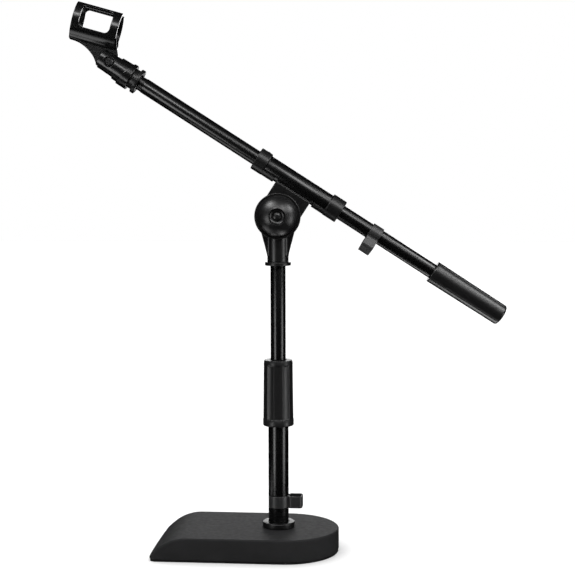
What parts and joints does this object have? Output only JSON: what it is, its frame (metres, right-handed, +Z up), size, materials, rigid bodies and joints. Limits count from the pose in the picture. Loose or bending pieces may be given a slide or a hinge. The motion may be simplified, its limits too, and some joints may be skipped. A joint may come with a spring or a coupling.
{
  "type": "boom microphone stand",
  "caption": "Desktop boom microphone stand: weighted base, telescopic column with twist clutch, tilting counterweighted boom and a clamp-style clip for a handheld microphone.",
  "frame": {"origin": "on the table, on the axis of the column", "axes": "+Z up along the column; +X towards the base's round end and the counterweight; +Y away from the big tilt knob"},
  "size_m": [0.4544, 0.114, 0.5769],
  "materials": {
    "base_coat": "matt black textured powder coat",
    "pad_rubber": "matt black anti-slip rubber",
    "steel_zinc": "bright zinc plated",
    "tube_black": "gloss black paint",
    "joint_black": "satin black paint",
    "plastic_satin": "fine textured black moulding",
    "plastic_gloss": "glossy black moulding",
    "nylon_white": "natural nylon",
    "weight_cover": "smooth satin black rubber",
    "brass_gold": "bright turned brass"
  },
  "bodies": {
    "stand_base": {"base_casting": "base_coat", "base_pad": "pad_rubber", "base_bolt": "steel_zinc", "base_washer": "steel_zinc", "foot_plug": "steel_zinc", "pole_foot_ring": "plastic_satin", "lower_tube": "tube_black", "clutch_body": "plastic_satin", "clutch_collet": "nylon_white"},
    "clutch": {"clutch_grip": "plastic_satin"},
    "column_clip": {"column_cable_clip": "plastic_satin"},
    "height_slider": {"column_guide_bush": "nylon_white"},
    "upper_column": {"upper_end_plug": "plastic_satin", "upper_tube": "tube_black", "upper_stud": "steel_zinc", "upper_lock_ring": "plastic_satin", "tilt_post": "joint_black", "friction_washers": "nylon_white"},
    "boom_head": {"tilt_bracket": "joint_black", "boom_sleeve": "tube_black", "front_collar": "plastic_satin", "rear_collar": "plastic_satin", "tilt_bolt": "steel_zinc", "tilt_bolt_washer": "steel_zinc", "knob_spacer": "steel_zinc", "boom_lock_pad": "nylon_white"},
    "tilt_lock": {"tilt_knob": "plastic_gloss", "knob_insert": "brass_gold", "knob_cap": "plastic_gloss"},
    "boom_lock": {"boom_lock_knob": "plastic_gloss", "boom_lock_screw": "steel_zinc"},
    "boom": {"boom_tube": "tube_black", "tip_stud": "tube_black", "tip_ring": "plastic_satin", "counterweight_core": "steel_zinc", "counterweight_slug": "steel_zinc", "counterweight_cover": "weight_cover", "counterweight_cap": "weight_cover"},
    "boom_clip": {"boom_cable_clip": "plastic_satin"},
    "clip_socket": {"thread_adapter": "brass_gold", "clip_base": "plastic_gloss", "clip_screw": "joint_black", "clip_nut": "steel_zinc"},
    "clip_holder": {"mic_clip": "plastic_gloss"}
  },
  "joints": [
    {"name": "column_height", "type": "slide", "parent": "stand_base", "child": "height_slider", "axis": [0, 0, 1], "range_m": [-0.081, 0.03]},
    {"name": "column_swivel", "type": "hinge", "parent": "height_slider", "child": "upper_column", "pos_m": [0, 0, 0.14], "axis": [0, 0, 1], "continuous": true},
    {"name": "clutch_twist", "type": "hinge", "parent": "stand_base", "child": "clutch", "pos_m": [0, 0, 0.17], "axis": [0, 0, 1], "range_deg": [0, 270]},
    {"name": "column_clip_slide", "type": "slide", "parent": "stand_base", "child": "column_clip", "axis": [0, 0, 1], "range_m": [-0.014, 0.074]},
    {"name": "boom_tilt", "type": "hinge", "parent": "upper_column", "child": "boom_head", "pos_m": [0, 0, 0.3554], "axis": [-0.068, 0.9977, 0], "range_deg": [-77.8, 42.2]},
    {"name": "tilt_knob_turn", "type": "hinge", "parent": "boom_head", "child": "tilt_lock", "pos_m": [0.00136, -0.01995, 0.3554], "axis": [0.068, -0.9977, 0], "range_deg": [0, 360]},
    {"name": "boom_slide", "type": "slide", "parent": "boom_head", "child": "boom", "axis": [0.8386, 0.0572, -0.5417], "range_m": [-0.025, 0.11]},
    {"name": "boom_lock_turn", "type": "hinge", "parent": "boom_head", "child": "boom_lock", "pos_m": [-0.01554, -0.00106, 0.41136], "axis": [-0.068, 0.9977, 0], "range_deg": [0, 360]},
    {"name": "boom_clip_slide", "type": "slide", "parent": "boom", "child": "boom_clip", "axis": [0.8386, 0.0572, -0.5417], "range_m": [-0.01, 0.065]},
    {"name": "clip_swivel", "type": "hinge", "parent": "boom", "child": "clip_socket", "pos_m": [-0.14938, -0.01018, 0.49781], "axis": [0.8386, 0.0572, -0.5417], "continuous": true},
    {"name": "clip_tilt", "type": "hinge", "parent": "clip_socket", "child": "clip_holder", "pos_m": [-0.17328, -0.01181, 0.51325], "axis": [-0.1334, 0.9858, -0.1024], "range_deg": [-85, 17]}
  ]
}
